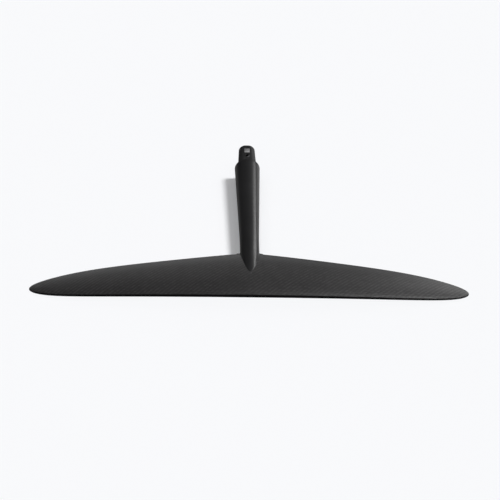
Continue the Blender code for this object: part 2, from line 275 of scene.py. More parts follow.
@dataclass(frozen=True)
class Finish:
    """A named material; each kind paints its own graph."""

    name: str

    def build(self) -> Material:
        """Make the material."""
        graph = Graph(self.name)
        self.paint(graph)
        return graph.material

    def paint(self, graph: Graph) -> None:
        """Fill the graph with the finish's nodes and constants."""
        raise NotImplementedError


@dataclass(frozen=True)
class TwillCarbon(Finish):
    """Two-by-two twill of carbon tows under a matt clear coat."""

    name: str = "twill_carbon"
    tow_x: float = 0.00203
    tow_y: float = 0.00182
    # Warp and weft are the same carbon: the weft is painted lighter as sheen, the warp darker as
    # shade.
    warp: Colour = (0.0148, 0.0143, 0.0146)
    weft: Colour = (0.0372, 0.0360, 0.0366)
    resin: Colour = (0.0060, 0.0060, 0.0062)
    scuff: Colour = (0.075, 0.075, 0.078)
    # Lighter flat colour near the rear edge: a painted highlight of the light behind the wing.
    veil: Colour = (0.0400, 0.0398, 0.0405)
    mean: Colour = (0.0215, 0.0213, 0.0217)
    roughness: float = 0.42
    # Where the painted highlight begins and is full along Y, and how it follows the rear edge
    # outboard.
    veil_front: float = -0.132
    veil_rear: float = -0.101
    veil_sweep: float = 0.118

    def paint(self, graph: Graph) -> None:
        """Weave the tows across the object's X and Y."""
        x, y, _z = graph.axes()
        across, along = x / self.tow_x, y / self.tow_y
        column, row = across.floor(), along.floor()
        u, v = across.fraction(), along.fraction()
        phase = (column - row).wrapped(4.0)
        weft_up = phase.above(1.5)
        second = phase.wrapped(2.0).above(0.5)
        # Place in a tow's float: side across it and run along it, from -1 to 1.
        side = weft_up.between(u, v) * 2.0 - 1.0
        run = weft_up.between(v - second, u - 1.0 + second)
        crown = 1.0 - side * side
        arch = 1.0 - run * run
        groove = graph.math("MAXIMUM", abs(side).ramp(0.74, 1.0), abs(run).ramp(0.80, 1.0))
        fibres_y = graph.noise((9000.0, 160.0, 160.0), 1.0)
        fibres_x = graph.noise((160.0, 9000.0, 160.0), 1.0)
        fibres = weft_up.between(fibres_y, fibres_x)
        tow_tone = weft_up.between(graph.random(column, 3.5), graph.random(row, 71.5))
        # Each float catches the light a little differently.
        float_column = column - weft_up * second
        float_row = row + second - weft_up * second
        float_painted_sheen = graph.random(float_column * 7.0 + float_row * 131.0, 0.5)
        cloud = graph.noise(9.0, 3.0, 0.6)
        # Weft floats get a painted sheen that lightens them and differs from float to float;
        # tow_tone, fibres and cloud are the tows' own tone.
        tone = weft_up * (float_painted_sheen * 0.85 + 0.22) + tow_tone * 0.14 + fibres * 0.18 \
            + cloud * 0.16 - 0.13
        woven = graph.mix(tone, self.warp, self.weft)
        filled = graph.mix(groove * 0.7, woven, self.resin)
        # Towards the rear edge, which runs forward outboard, a lighter flat colour covers the
        # weave: a painted highlight of the light behind the wing. Random patches elsewhere fade
        # the weave to its mean colour, as resin veils it.
        from_front = y + abs(x) * self.veil_sweep
        patch = graph.noise(46.0, 1.0).ramp(0.50, 0.66) * 0.45
        rearward = from_front.ramp(self.veil_front, self.veil_rear)
        veil = graph.math("MAXIMUM", rearward, patch) * 0.8
        flat = graph.mix(rearward, self.mean, self.veil)
        sheened_and_veiled = graph.mix(veil, filled, flat)
        streak = graph.noise((14.0, 260.0, 60.0), 4.0, 0.7)
        scuffs = streak.ramp(0.66, 0.80) * 0.14
        graph.shade(Base_Color=graph.mix(scuffs, sheened_and_veiled, self.scuff))
        graph.shade(Roughness=self.roughness + groove * 0.08 + (cloud - 0.5) * 0.10
                    + scuffs * 0.5 - weft_up * 0.04)
        peel = graph.noise(420.0, 2.0)
        weave = (crown * 0.5 + arch * 0.5 - groove * 0.25 + fibres * 0.12) * (1.0 - veil * 0.8)
        graph.bump(weave + peel * 0.35, 0.00012, 0.9)
        graph.shade(Coat_Roughness=0.30, Specular_IOR_Level=0.42, Coat_Weight=0.06)


@dataclass(frozen=True)
class SmoothCarbon(Finish):
    """Smooth matt moulded carbon, lightly peeled, with faint handling marks."""

    name: str = "moulded_carbon"
    dark: Colour = (0.0088, 0.0088, 0.0092)
    light: Colour = (0.0165, 0.0167, 0.0175)
    worn: Colour = (0.070, 0.070, 0.072)
    roughness: float = 0.35
    wear: float = 0.10

    def paint(self, graph: Graph) -> None:
        """Paint a base with marks that run along the fuselage."""
        cloud = graph.noise(22.0, 3.0, 0.6)
        speck = graph.noise(900.0, 1.0)
        base = graph.mix(cloud * 0.8 + speck * 0.2, self.dark, self.light)
        streak = graph.noise((420.0, 16.0, 420.0), 4.0, 0.7)
        marks = streak.ramp(0.62, 0.80) * self.wear
        graph.shade(Base_Color=graph.mix(marks, base, self.worn))
        graph.shade(Roughness=self.roughness + (cloud - 0.5) * 0.12 + marks * 0.5)
        peel = graph.noise(260.0, 2.0)
        graph.bump(peel * 0.8 + speck * 0.2, 0.00006, 0.8)
        graph.shade(Specular_IOR_Level=0.50)


@dataclass(frozen=True)
class UnidirectionalCarbon(Finish):
    """Laid-up carbon with straight fibres and bands of resin."""

    name: str = "structural_carbon"
    dark: Colour = (0.014, 0.014, 0.015)
    light: Colour = (0.050, 0.050, 0.053)
    stretch: Point = (25.0, 2600.0, 2600.0)

    def paint(self, graph: Graph) -> None:
        """Lay fibres along the least stretched axis."""
        fibres = graph.noise(self.stretch)
        bands = graph.noise(tuple(part / 12 for part in self.stretch))
        tone = fibres * 0.6 + bands * 0.4
        graph.shade(Base_Color=graph.mix(tone.ramp(0.3, 0.7), self.dark, self.light))
        graph.shade(Roughness=0.34 + fibres * 0.25)
        graph.bump(fibres, 0.00005, 0.7)
        graph.shade(Specular_IOR_Level=0.45)


@dataclass(frozen=True)
class NoseShadeBand(Finish):
    """Near-black colour along the leading edge, painted shade of the nose, rubbed by sand in
    streaks.
    """

    name: str = "nose_band"
    # Painted shade of the nose, and the lighter colour of its rubbed streaks.
    dark: Colour = (0.0022, 0.0022, 0.0024)
    rubbed: Colour = (0.0120, 0.0120, 0.0126)

    def paint(self, graph: Graph) -> None:
        """Paint the band near-black as shade and rub it in streaks."""
        rub = graph.noise((60.0, 400.0, 400.0), 4.0, 0.7)
        graph.shade(Base_Color=graph.mix(rub.ramp(0.55, 0.75), self.dark, self.rubbed))
        graph.shade(Roughness=0.50 + rub * 0.2)
        graph.bump(graph.noise(700.0, 2.0), 0.00004, 0.6)
        graph.shade(Specular_IOR_Level=0.10)


@dataclass(frozen=True)
class ClosedCellFoam(Finish):
    """Pale structural foam with small cut cells."""

    name: str = "foam"
    cell: float = 700.0
    light: Colour = (0.66, 0.63, 0.52)
    shade: Colour = (0.42, 0.39, 0.30)

    def paint(self, graph: Graph) -> None:
        """Cut the foam into cells."""
        cells = graph.cells(self.cell)
        walls = cells.ramp(0.15, 0.75)
        graph.shade(Base_Color=graph.mix(walls, self.shade, self.light))
        graph.shade(Roughness=0.80 + walls * 0.15)
        graph.bump(walls, 0.0004, 0.8)


@dataclass(frozen=True)
class BondingPaste(Finish):
    """Cured grey adhesive with pale filler specks."""

    name: str = "bonding_paste"
    base: Colour = (0.17, 0.18, 0.21)
    speck: Colour = (0.36, 0.37, 0.40)

    def paint(self, graph: Graph) -> None:
        """Scatter specks and smear the surface."""
        specks = graph.noise(1500.0, 2.0).ramp(0.60, 0.72)
        smear = graph.noise(60.0, 3.0)
        graph.shade(Base_Color=graph.mix(specks, self.base, self.speck))
        graph.shade(Roughness=0.45 + smear * 0.3)
        graph.bump(smear, 0.0005, 0.6)


@dataclass(frozen=True)
class MachinedSteel(Finish):
    """Stainless steel with fine tool marks across the tenon."""

    name: str = "stainless_steel"
    light: Colour = (0.80, 0.80, 0.81)
    dull: Colour = (0.45, 0.45, 0.46)
    roughness: float = 0.34

    def paint(self, graph: Graph) -> None:
        """Draw tool marks and stains."""
        lines = graph.noise((60.0, 5200.0, 60.0), 2.0)
        stain = graph.noise(210.0, 3.0, 0.6)
        graph.shade(Base_Color=graph.mix(stain.ramp(0.35, 0.70), self.light, self.dull))
        graph.shade(Roughness=self.roughness + lines * 0.12 + stain * 0.12)
        graph.bump(lines, 0.00003, 0.8)
        graph.shade(Metallic=1.0)


@dataclass(frozen=True)
class StudioFloor(Finish):
    """Pale floor that glows a little, so that shadows on it stay soft."""

    name: str = "studio_floor"
    glow: float = 0.235
    tint: Colour = (0.948, 0.955, 0.972)
    whiteness: float = 0.75

    def paint(self, graph: Graph) -> None:
        """Set the floor's colour and glow."""
        shade = tuple(self.whiteness * part for part in self.tint)
        graph.shade(Base_Color=(*shade, 1.0), Emission_Color=(*self.tint, 1.0),
                    Emission_Strength=self.glow, Roughness=0.9, Specular_IOR_Level=0.0)


# ---- workbench

def deselect_all() -> None:
    """Leave edit mode and deselect every object."""
    if bpy.context.object and bpy.context.object.mode != "OBJECT":
        bpy.ops.object.mode_set(mode="OBJECT")
    bpy.ops.object.select_all(action="DESELECT")


def pick(piece: Piece) -> None:
    """Make a piece the only selected and the active object."""
    deselect_all()
    piece.select_set(True)
    bpy.context.view_layer.objects.active = piece


@contextmanager
def editing(piece: Piece) -> Iterator[None]:
    """Hold a piece in edit mode."""
    pick(piece)
    bpy.ops.object.mode_set(mode="EDIT")
    yield
    bpy.ops.object.mode_set(mode="OBJECT")


def select_where(piece: Piece, kind: Part, wanted: Callable[..., bool]) -> None:
    """Select parts of a piece in edit mode by a test.

    Args:
        piece: The object in edit mode.
        kind: Vertices, edges or faces.
        wanted: Test of one vertex, edge or face.
    """
    mesh = bmesh.from_edit_mesh(piece.data)
    bpy.ops.mesh.select_mode(type=kind.name)
    bpy.ops.mesh.select_all(action="DESELECT")
    mesh.normal_update()
    for part in getattr(mesh, kind.value):
        if wanted(part):
            part.select_set(True)
    mesh.select_flush_mode()
    bmesh.update_edit_mesh(piece.data)


def new_piece(name: str, add: Callable[..., set[str]], **settings: object) -> Piece:
    """Add one of Blender's basic shapes and name it.

    Args:
        name: Name of the new piece.
        add: Operator that adds the shape.
        settings: The operator's settings.

    Returns:
        The new piece, which is the active object.
    """
    deselect_all()
    add(**settings)
    piece = bpy.context.object
    piece.name = name
    return piece


def freeze(piece: Piece) -> None:
    """Bake a piece's place, turn and scale into its mesh."""
    pick(piece)
    bpy.ops.object.transform_apply(location=True, rotation=True, scale=True)


def settle(piece: Piece, angle: float = 35.0) -> None:
    """Bake a piece's place into its mesh and shade it smooth by angle."""
    freeze(piece)
    bpy.ops.object.shade_smooth_by_angle(angle=math.radians(angle))


def clean(piece: Piece, angle: float = 35.0) -> Piece:
    """Merge doubled points, turn all faces outwards and settle the piece."""
    with editing(piece):
        bpy.ops.mesh.select_all(action="SELECT")
        bpy.ops.mesh.remove_doubles(threshold=MERGE_DISTANCE)
        bpy.ops.mesh.normals_make_consistent(inside=False)
    settle(piece, angle)
    return piece


def carve(piece: Piece, cutters: Iterable[Piece], angle: float) -> Piece:
    """Cut other objects out of a piece, remove them and clean the piece.

    Args:
        piece: The object to cut.
        cutters: Closed objects, which are deleted afterwards.
        angle: Edges sharper than this stay sharp, in degrees.

    Returns:
        The cut piece.
    """
    for cutter in cutters:
        modifier = piece.modifiers.new("cut_" + cutter.name, "BOOLEAN")
        modifier.operation = "DIFFERENCE"
        modifier.solver = "EXACT"
        modifier.object = cutter
        pick(piece)
        bpy.ops.object.modifier_apply(modifier=modifier.name)
        bpy.data.objects.remove(cutter, do_unlink=True)
    return clean(piece, angle)


def ring_piece(name: str, rings: Sequence[Sequence[Point]]) -> Piece:
    """Extrude a closed ring through a row of sections.

    A circle is extruded once for each section, and each ring of points is then
    put on its section. The two ends are filled.

    Args:
        name: Name of the new piece.
        rings: Sections with equal point counts, in order.

    Returns:
        The finished piece, at the origin.
    """
    count = len(rings[0])
    piece = new_piece(name, bpy.ops.mesh.primitive_circle_add, vertices=count, radius=0.01)
    with editing(piece):
        bpy.ops.mesh.select_all(action="SELECT")
        for _section in rings[1:]:
            bpy.ops.mesh.extrude_region_move(TRANSFORM_OT_translate={"value": (0, 0, 0.001)})
    places = [part for ring in rings for point in ring for part in point]
    piece.data.vertices.foreach_set("co", places)
    total = count * len(rings)
    for ends in (range(count), range(total - count, total)):
        with editing(piece):
            select_where(piece, Part.VERT, lambda vert, ends=ends: vert.index in ends)
            bpy.ops.mesh.edge_face_add()
    return clean(piece)


def packed_place(node: str) -> tuple[Vector, Vector]:
    """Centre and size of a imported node's box."""
    low, high = (Vector(corner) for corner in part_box(node))
    return (low + high) / 2, high - low


def dress(piece: Piece, material: Material) -> None:
    """Give a new piece its finish and attach it to the body."""
    piece.data.materials.clear()
    piece.data.materials.append(material)
    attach(piece, BODY)
    log.info("%s: %d faces, finish %s", piece.name, len(piece.data.polygons), material.name)


def arc_drop(radius: float, along: float) -> float:
    """How far a quarter circle has fallen at a distance along it."""
    return radius - math.sqrt(max(0.0, radius ** 2 - max(0.0, along) ** 2))


def spread(first: float, last: float, count: int) -> list[float]:
    """Give count + 1 evenly spaced values from first to last."""
    return [first + (last - first) * index / count for index in range(count + 1)]


# ---- shapes

@dataclass(frozen=True)
class WingShape:
    """Outer shape of the wing in the shared frame."""

    half_span: float
    root_chord: float
    root_y: float
    plane_z: float
    taper: float = 0.545
    root_blend: float = 0.06
    tip_power: float = 7.0
    sweep: float = 0.019
    setback: float = 0.0205
    setback_power: float = 12.0
    droop: float = 0.0216
    root_ratio: float = 0.12
    tip_ratio: float = 0.10
    camber: float = 0.02
    edge: float = 0.00045
    fillet: float = 0.0022
    fuselage_half_width: float = 0.0163

    @property
    def rear_edge(self) -> float:
        """Place of the rear edge in the middle, along Y."""
        return self.root_y + self.root_chord

    def plain_chord(self, eta: float) -> float:
        """Chord at a signed fraction of the half span, without the root fillet."""
        reach = math.hypot(eta, self.root_blend) - self.root_blend
        tip = math.sqrt(max(0.0, 1 - abs(eta) ** self.tip_power))
        return self.root_chord * (1 - self.taper * reach) * tip

    def leading(self, eta: float) -> float:
        """Place of the leading edge along Y."""
        reach = abs(eta)
        corner = 1 - math.sqrt(max(0.0, 1 - reach ** self.setback_power))
        return self.root_y + self.sweep * reach ** 2 + self.setback * corner

    def half_thickness(self, eta: float, xi: float) -> float:
        """Half the section's thickness, after the four-digit formula."""
        ratio = self.root_ratio + (self.tip_ratio - self.root_ratio) * abs(eta)
        form = 0.2969 * math.sqrt(max(0.0, xi)) - 0.1260 * xi - 0.3516 * xi ** 2
        form += 0.2843 * xi ** 3 - 0.1036 * xi ** 4
        edge = min(self.edge, 0.02 * self.plain_chord(eta))
        return 5 * ratio * form * self.plain_chord(eta) + edge * xi

    def middle(self, eta: float, xi: float) -> float:
        """Height of the camber line."""
        bow = self.camber * 4 * xi * (1 - xi) * self.plain_chord(eta)
        return self.plane_z - self.droop * eta ** 2 + bow

    def surface(self, eta: float, xi: float, side: Side, inset: float = 0.0) -> Point:
        """Point on the upper or lower surface.

        Args:
            eta: Signed fraction of the half span.
            xi: Fraction of the chord from the leading edge.
            side: Upper or lower surface.
            inset: Depth under the surface, at most to the middle.

        Returns:
            The point in metres.
        """
        half = max(self.half_thickness(eta, xi) - inset, 0.00003)
        x = eta * self.half_span
        return (x, self.leading(eta) + xi * self.plain_chord(eta),
                self.middle(eta, xi) + side.value * half)

    def stations_at(self, x: float, y: float) -> tuple[float, float]:
        """Fractions of the half span and of the chord at a place in plan."""
        eta = x / self.half_span
        return eta, min(max((y - self.leading(eta)) / self.plain_chord(eta), 0.0), 1.0)

    def height_at(self, x: float, y: float, side: Side) -> float:
        """Height of the upper or lower surface over a place in plan."""
        eta, xi = self.stations_at(x, y)
        return self.middle(eta, xi) + side.value * self.half_thickness(eta, xi)

    def middle_at(self, x: float, y: float) -> float:
        """Height of the camber line over a place in plan."""
        return self.middle(*self.stations_at(x, y))


@dataclass(frozen=True)
class FuselageShape:
    """Outer shape of the fuselage stub in the shared frame.

    Each row of the table holds a distance behind the root leading edge, the half
    width, the heights above and below the wing's plane, and the section's power.
    """

    root_y: float
    plane_z: float
    flank_fall: float = 3.0
    table: tuple[tuple[float, ...], ...] = (
        (0.048, 0.0085, 0.0052, 0.0032, 1.6),
        (0.057, 0.0118, 0.0078, 0.0042, 1.6),
        (0.078, 0.0140, 0.0095, 0.0068, 1.6),
        (0.111, 0.0163, 0.0120, 0.0115, 1.7),
        (0.150, 0.0166, 0.0138, 0.0138, 2.0),
        (0.359, 0.0228, 0.0220, 0.0220, 2.0),
    )

    def values(self, y: float) -> list[float]:
        """Half width, height above, depth below and power at a place along Y."""
        station = y - self.root_y
        for before, after in zip(self.table, self.table[1:]):
            if station <= after[0]:
                break
        share = (station - before[0]) / (after[0] - before[0])
        return [low + (high - low) * share for low, high in zip(before[1:], after[1:])]

    def smooth_values(self, y: float, reach: float = 0.009) -> list[float]:
        """The values averaged along Y, so that the table's corners are rounded."""
        last = self.root_y + self.table[-1][0]
        reach = min(reach, max(last - y, 0.0))
        rows = [self.values(y + reach * step) for step in (-1, -0.5, 0, 0.5, 1)]
        return [sum(column) / len(rows) for column in zip(*rows)]

    def rise(self, x: float, y: float, side: Side, inset: float = 0.0) -> float:
        """Distance of the surface from the wing's plane at a place in plan.

        Beyond the fuselage's flank it falls steeply, which gives the fairing
        beside it a hollow curve.
        """
        width, above, below, power = self.smooth_values(y)
        height = (above if side is Side.UPPER else below) - inset
        share = abs(x) / (width - inset)
        if share >= 1:
            return -(share - 1) * (width - inset) * self.flank_fall
        return height * (1 - share ** power) ** (1 / power)


@dataclass(frozen=True)
class ProwShape:
    """Ridge that the fuselage's upper side makes on the wing, a V in plan."""

    start: float
    end: float
    start_height: float
    half_width: float
    height: float
    power: float
    bluntness: float = 0.72
    flank_fall: float = 2.5

    def rise(self, x: float, y: float, wing_top: float, wing_ridge: float) -> float:
        """Height of the ridge's surface over the wing's plane.

        Args:
            x: Distance from the middle.
            y: Place along the fuselage.
            wing_top: Height of the wing's upper surface there.
            wing_ridge: Height of the wing's upper surface in the middle.

        Returns:
            The height, which falls under the wing's surface outside the V.
        """
        share = min(max((y - self.start) / (self.end - self.start), 0.0), 1.0)
        width = self.half_width * math.sqrt(share ** 2 + self.bluntness * share * (1 - share))
        if abs(x) >= width:
            return wing_top - self.flank_fall * (abs(x) - width)
        ridge = self.start_height + (self.height - self.start_height) * share
        form = (1 - (abs(x) / width) ** self.power) ** (1 / self.power)
        return wing_top + (ridge - wing_ridge) * form


def smooth_max(first: float, second: float, reach: float) -> float:
    """The larger of two numbers, rounded where they are closer than reach."""
    blend = max(reach - abs(first - second), 0.0) / reach
    return max(first, second) + blend * blend * reach / 4


# ---- wing

@dataclass
class Wing:
    """Two twill laminates and the nose band between them, painted near-black as shade."""

    shape: WingShape
    wall: float = 0.0004
    seam: float = 0.00004
    last_eta: float = 0.9995
    nose_upper: float = 0.0025
    nose_lower: float = 0.0034
    nose_limit: float = 0.12
    flare_start: float = 0.86
    chord_steps: int = 56
    span_steps: int = 74

    def etas(self) -> list[float]:
        """Spanwise stations, closer at the tips and beside the fuselage."""
        half = [self.last_eta * math.sin(angle)
                for angle in spread(0, math.pi / 2, self.span_steps)]
        edge = self.shape.fuselage_half_width / self.shape.half_span
        near = [edge + step * self.shape.fillet / self.shape.half_span
                for step in (0.0, 0.04, 0.12, 0.25, 0.45, 0.7, 1.0)]
        half = sorted(half + near)
        return [-eta for eta in reversed(half[1:])] + half

    def fillet_reach(self, x: float) -> float:
        """How far the trailing edge flares back beside the fuselage."""
        gap = max(abs(x) - self.shape.fuselage_half_width, 0.0)
        return arc_drop(self.shape.fillet, self.shape.fillet - gap)

    def nose_share(self, eta: float, side: Side) -> float:
        """Fraction of the chord that the nose band covers on one side."""
        width = self.nose_upper if side is Side.UPPER else self.nose_lower
        return min(width / self.shape.plain_chord(eta), self.nose_limit)

    def point(self, eta: float, xi: float, side: Side, inset: float) -> Point:
        """Point on a laminate, with the flare beside the fuselage."""
        x, y, z = self.shape.surface(eta, xi, side, inset)
        share = max(0.0, (xi - self.flare_start) / (1 - self.flare_start))
        return (x, y + self.fillet_reach(x) * share ** 2, z)

    def laminate(self, side: Side) -> Piece:
        """Thin closed shell over one surface, from the nose band to the rear edge."""
        rings = []
        for eta in self.etas():
            first = self.nose_share(eta, side)
            shares = [first + (1 - first) * (1 - math.cos(angle)) / 2
                      for angle in spread(0, math.pi, self.chord_steps)]
            outer = [self.point(eta, xi, side, 0.0) for xi in shares]
            inner = [self.point(eta, xi, side, self.wall) for xi in reversed(shares)]
            rings.append(outer + inner)
        return ring_piece("wing_" + side.name.lower() + "_laminate", rings)

    def nose_band(self) -> Piece:
        """Solid rounded band along the leading edge, which carries the painted shade."""
        rings = []
        for eta in self.etas():
            upper_end = self.nose_share(eta, Side.UPPER)
            lower_end = self.nose_share(eta, Side.LOWER)
            upper = [upper_end * (1 - index / 12) ** 2 for index in range(12)]
            lower = [lower_end * (index / 14) ** 2 for index in range(15)]
            top = [self.point(eta, xi, Side.UPPER, self.seam) for xi in upper]
            bottom = [self.point(eta, xi, Side.LOWER, self.seam) for xi in lower]
            rings.append(top + bottom)
        return ring_piece("leading_edge_band", rings)

    def build(self) -> None:
        """Model the laminates and the band."""
        twill = TwillCarbon().build()
        upper = self.laminate(Side.UPPER)
        dress(upper, twill)
        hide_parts("upper_wing_skin", "left_wing_tip", "right_wing_tip")
        lower = self.laminate(Side.LOWER)
        dress(lower, twill)
        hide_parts("lower_wing_skin")
        band = self.nose_band()
        # The band's near-black colour is painted shade of the nose.
        dress(band, NoseShadeBand().build())
        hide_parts("leading_edge_strip")


# ---- fuselage

@dataclass
class Fuselage:
    """Two moulded halves that fair into the wing."""

    wing: WingShape
    shape: FuselageShape
    shoulder_y: float
    wall: float = 0.0022
    seam: float = 0.00004
    sink: float = 0.00010
    blend_upper: float = 0.0014
    blend_lower: float = 0.0045
    least_blend: float = 0.0006
    prow_start: float = 0.0560
    apron: float = 0.0062
    shoulder_round: float = 0.0022
    across_steps: int = 64
    start: float = 0.0485

    def stations(self) -> list[float]:
        """Places along Y: close in the nose, at the rear edge and the shoulder."""
        nose = self.wing.root_y + self.start
        rear_edge = self.wing.rear_edge
        fillet_end = rear_edge + self.wing.fillet
        body_end = self.shoulder_y - self.shoulder_round
        return (spread(nose, rear_edge, 64) + spread(rear_edge, fillet_end, 14)[1:]
                + spread(fillet_end, body_end, 60)[1:])

    def apron_width(self, y: float) -> float:
        """Width of the fairing beside the flank; it closes behind the wing."""
        past = max(y - self.wing.rear_edge, 0.0)
        return self.apron * arc_drop(self.wing.fillet, self.wing.fillet - past) / self.wing.fillet

    def prow(self) -> ProwShape:
        """Ridge on the wing that meets the free part of the fuselage at the rear edge."""
        start = self.wing.root_y + self.prow_start
        end = self.wing.rear_edge
        width, above, _below, power = self.shape.smooth_values(end)
        top = self.wing.height_at(0.0, start, Side.UPPER) - self.wing.plane_z
        return ProwShape(start, end, top, width, above, power)

    def over_wing(self, x: float, y: float, side: Side, inset: float) -> tuple[float, float]:
        """Heights of the fuselage's and the wing's surface over the wing's plane."""
        plane = self.wing.plane_z
        wing = side.value * (self.wing.height_at(x, y, side) - plane)
        if side is Side.LOWER:
            return self.shape.rise(x, y, side, inset), wing
        ridge = self.wing.height_at(0.0, y, side) - plane
        return self.prow().rise(x, y, wing, ridge) - inset, wing

    def outline(self, y: float, side: Side, inset: float) -> list[Point]:
        """Half a section from one flank over the ridge to the other."""
        reach = self.shape.smooth_values(y)[0] + self.apron_width(y)
        rear_edge = self.wing.rear_edge
        behind = max(0.0, y - rear_edge) / self.wing.fillet
        blend = self.blend_upper if side is Side.UPPER else self.blend_lower
        points = []
        for share in spread(-math.pi / 2, math.pi / 2, self.across_steps):
            x = (reach - inset) * math.sin(share)
            if y <= rear_edge:
                rise, wing = self.over_wing(x, y, side, inset)
                centre = self.wing.middle_at(x, y) - self.wing.plane_z
            else:
                rise, wing = self.shape.rise(x, y, side, inset), self.wing.edge
                centre = 0.0
            floor = side.value * centre + self.seam
            height = max(rise, floor)
            if not inset and behind < 1:
                web = max(wing - self.sink, floor)
                height = max(smooth_max(
                    rise, web, blend * (1 - behind) + self.least_blend), floor)
            points.append((x, y, self.wing.plane_z + side.value * height))
        return points

    def half(self, side: Side) -> Piece:
        """One hollow half, rounded over at the shoulder."""
        rings = []
        for last_y in self.stations():
            outer = self.outline(last_y, side, 0.0)
            inner = self.outline(last_y, side, self.wall)[::-1]
            rings.append(outer + inner)
        plane = self.wing.plane_z
        for turn in spread(0, math.pi / 2, 6)[1:]:
            shrink = self.shoulder_round * (1 - math.cos(turn)) / self.shape.values(last_y)[0]
            y = last_y + self.shoulder_round * math.sin(turn)
            rings.append([(x * (1 - shrink), y, plane + (z - plane) * (1 - shrink))
                          for x, _y, z in outer] + [(x, y, z) for x, _y, z in inner])
        return ring_piece("fuselage_" + side.name.lower() + "_half", rings)

    def build(self) -> None:
        """Model both halves."""
        finish = SmoothCarbon().build()
        for side in Side:
            half = self.half(side)
            dress(half, finish)
            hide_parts(side.name.lower() + "_fuselage_shell")


# ---- tenon

